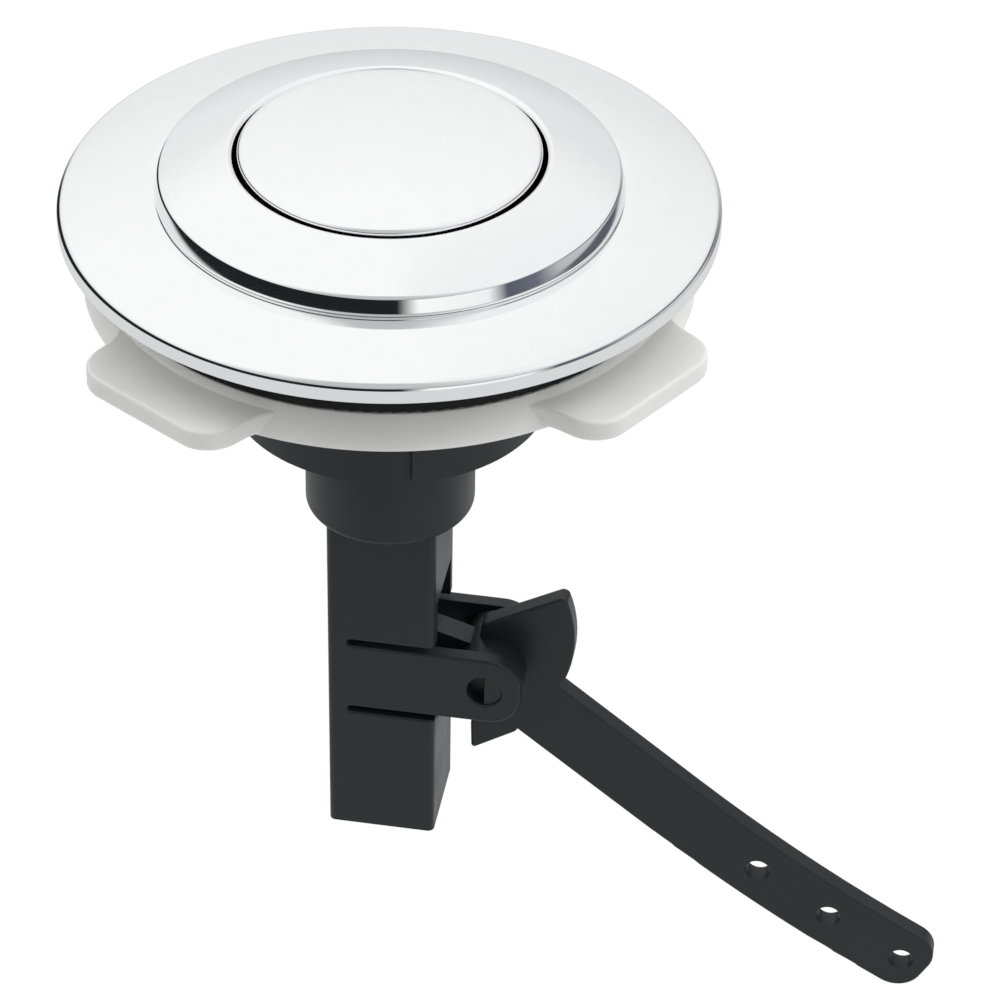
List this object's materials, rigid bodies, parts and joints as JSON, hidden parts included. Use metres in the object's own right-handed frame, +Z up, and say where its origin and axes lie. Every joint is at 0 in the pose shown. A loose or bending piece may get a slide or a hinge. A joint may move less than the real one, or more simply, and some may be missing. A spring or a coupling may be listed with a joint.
{
  "type": "push button cistern actuator",
  "caption": "Round chromed push button on a domed flange, clamped in a cistern lid by a wing nut; pressing it drives a rod that swings a lever to lift the flush valve's chain.",
  "frame": {"origin": "on the button's axis, at the underside of the flange where the gasket lies", "axes": "+Z up along the button's axis, +X towards the free end of the lever"},
  "size_m": [0.106, 0.0748, 0.115],
  "materials": {
    "chrome_trim": "bright plating on moulded plastic",
    "black_plastic": "satin moulded",
    "gasket_rubber": "matte",
    "nut_plastic": "natural moulded, slightly cloudy",
    "white_acetal": "smooth moulded",
    "spring_steel": "bare wire"
  },
  "bodies": {
    "housing": {"flange_plate": "chrome_trim", "bezel_ring": "chrome_trim", "barrel_body": "black_plastic", "flange_gasket": "gasket_rubber", "guide_post": "black_plastic", "return_spring": "spring_steel"},
    "button": {"button_cap": "chrome_trim", "plunger": "white_acetal", "push_rod": "white_acetal"},
    "nut": {"wing_nut": "nut_plastic"},
    "lever": {"lever": "black_plastic"}
  },
  "joints": [
    {"name": "button_press", "type": "slide", "parent": "housing", "child": "button", "axis": [0, 0, -1], "range_m": [0, 0.008], "stiffness_N_per_m": 600, "springref_m": -0.008, "deforming": ["return_spring"]},
    {"name": "lever_pivot", "type": "hinge", "parent": "housing", "child": "lever", "pos_m": [0.0125, 0, -0.06255], "axis": [0, -1, 0], "range_deg": [0, 42.7]},
    {"name": "nut_travel", "type": "slide", "parent": "housing", "child": "nut", "axis": [0, 0, -1], "range_m": [0, 0.01]}
  ],
  "couplings": [
    {"joint": "lever_pivot", "follows": "button_press", "rad_per_m": 93.042}
  ]
}
